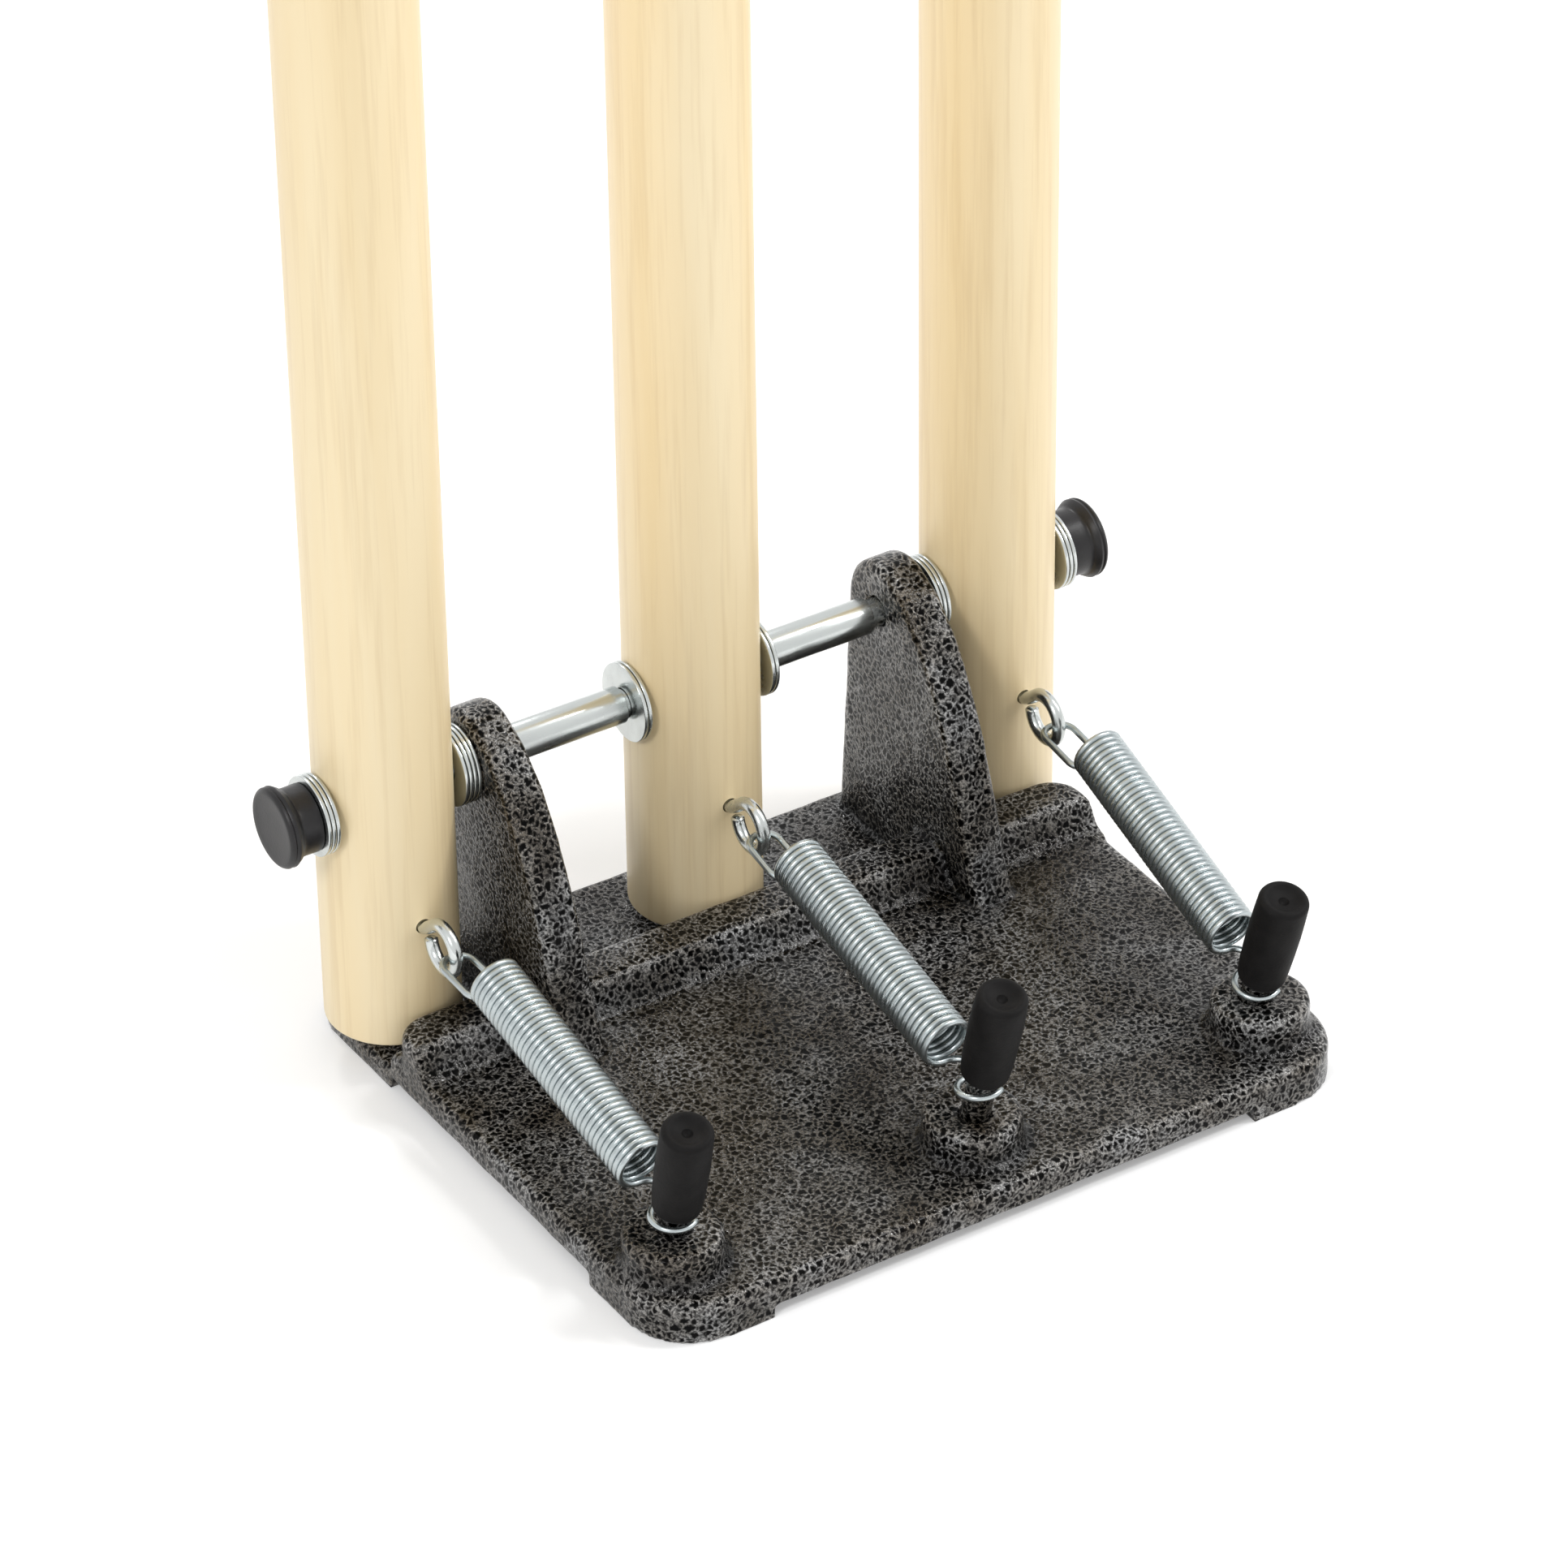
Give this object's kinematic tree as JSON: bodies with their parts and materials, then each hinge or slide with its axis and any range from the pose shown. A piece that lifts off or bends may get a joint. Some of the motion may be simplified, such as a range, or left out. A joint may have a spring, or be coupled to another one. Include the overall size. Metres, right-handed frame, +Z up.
{
  "type": "spring-back cricket stumps",
  "caption": "Three wooden cricket stumps hinged on an axle over a cast base with a stop ridge, each pulled upright by a tension spring hooked on a sleeved peg.",
  "frame": {"origin": "Middle of the base's outline, on the ground that its pads and rear ledge stand on.", "axes": "X runs along the axle from the left stump to the right one, +Y points from the spring pegs to the stumps, and +Z is up along the stumps."},
  "size_m": [0.2582, 0.184, 0.7108],
  "materials": {
    "cast_base": "hammered gloss paint, dark grey and black",
    "zinc_steel": "bright zinc plate",
    "spring_zinc": "bright zinc plate, drawn wire",
    "stump_wood": "pale satin varnish",
    "axle_cap": "black, slightly shiny",
    "sleeve_rubber": "matte black rubber"
  },
  "bodies": {
    "base": {"base_casting": "cast_base", "axle_rod": "zinc_steel", "spacer_tube_left": "zinc_steel", "spacer_tube_right": "zinc_steel", "washer_left_outer_1": "zinc_steel", "washer_left_outer_2": "zinc_steel", "washer_left_outer_3": "zinc_steel", "washer_left_inner_1": "zinc_steel", "washer_left_inner_2": "zinc_steel", "washer_left_inner_3": "zinc_steel", "washer_left_inner_4": "zinc_steel", "washer_middle_left_1": "zinc_steel", "washer_middle_left_2": "zinc_steel", "washer_middle_right_1": "zinc_steel", "washer_middle_right_2": "zinc_steel", "washer_right_inner_1": "zinc_steel", "washer_right_inner_2": "zinc_steel", "washer_right_inner_3": "zinc_steel", "washer_right_outer_1": "zinc_steel", "washer_right_outer_2": "zinc_steel", "washer_right_outer_3": "zinc_steel", "axle_cap_left": "axle_cap", "axle_cap_right": "axle_cap", "spring_peg_left": "zinc_steel", "spring_peg_middle": "zinc_steel", "spring_peg_right": "zinc_steel", "peg_sleeve_left": "sleeve_rubber", "peg_sleeve_middle": "sleeve_rubber", "peg_sleeve_right": "sleeve_rubber"},
    "stump_left_body": {"stump_left": "stump_wood", "screw_eye_left": "zinc_steel"},
    "stump_middle_body": {"stump_middle": "stump_wood", "screw_eye_middle": "zinc_steel"},
    "stump_right_body": {"stump_right": "stump_wood", "screw_eye_right": "zinc_steel"},
    "spring_left_body": {"spring_left": "spring_zinc"},
    "spring_middle_body": {"spring_middle": "spring_zinc"},
    "spring_right_body": {"spring_right": "spring_zinc"}
  },
  "joints": [
    {"name": "stump_left_fall", "type": "hinge", "parent": "base", "child": "stump_left_body", "pos_m": [-0.09565, 0.066, 0.0811], "axis": [1, 0, 0], "range_deg": [0, 75], "stiffness_Nm_per_rad": 2.2, "springref_deg": -20.05},
    {"name": "stump_middle_fall", "type": "hinge", "parent": "base", "child": "stump_middle_body", "pos_m": [0, 0.066, 0.0811], "axis": [1, 0, 0], "range_deg": [0, 75], "stiffness_Nm_per_rad": 2.2, "springref_deg": -20.05},
    {"name": "stump_right_fall", "type": "hinge", "parent": "base", "child": "stump_right_body", "pos_m": [0.09565, 0.066, 0.0811], "axis": [1, 0, 0], "range_deg": [0, 75], "stiffness_Nm_per_rad": 2.2, "springref_deg": -20.05},
    {"name": "spring_left_stretch", "type": "slide", "parent": "base", "child": "spring_left_body", "axis": [0, 0.9952, -0.0975], "range_m": [0, 0.0585], "deforming": ["spring_left"]},
    {"name": "spring_middle_stretch", "type": "slide", "parent": "base", "child": "spring_middle_body", "axis": [0, 0.991, -0.1339], "range_m": [0, 0.0565], "deforming": ["spring_middle"]},
    {"name": "spring_right_stretch", "type": "slide", "parent": "base", "child": "spring_right_body", "axis": [0, 0.9919, -0.1273], "range_m": [0, 0.0568], "deforming": ["spring_right"]}
  ],
  "couplings": [
    {"joint": "spring_left_stretch", "follows": "stump_left_fall", "m_per_rad": 0.044211},
    {"joint": "spring_middle_stretch", "follows": "stump_middle_fall", "m_per_rad": 0.042607},
    {"joint": "spring_right_stretch", "follows": "stump_right_fall", "m_per_rad": 0.042839}
  ]
}
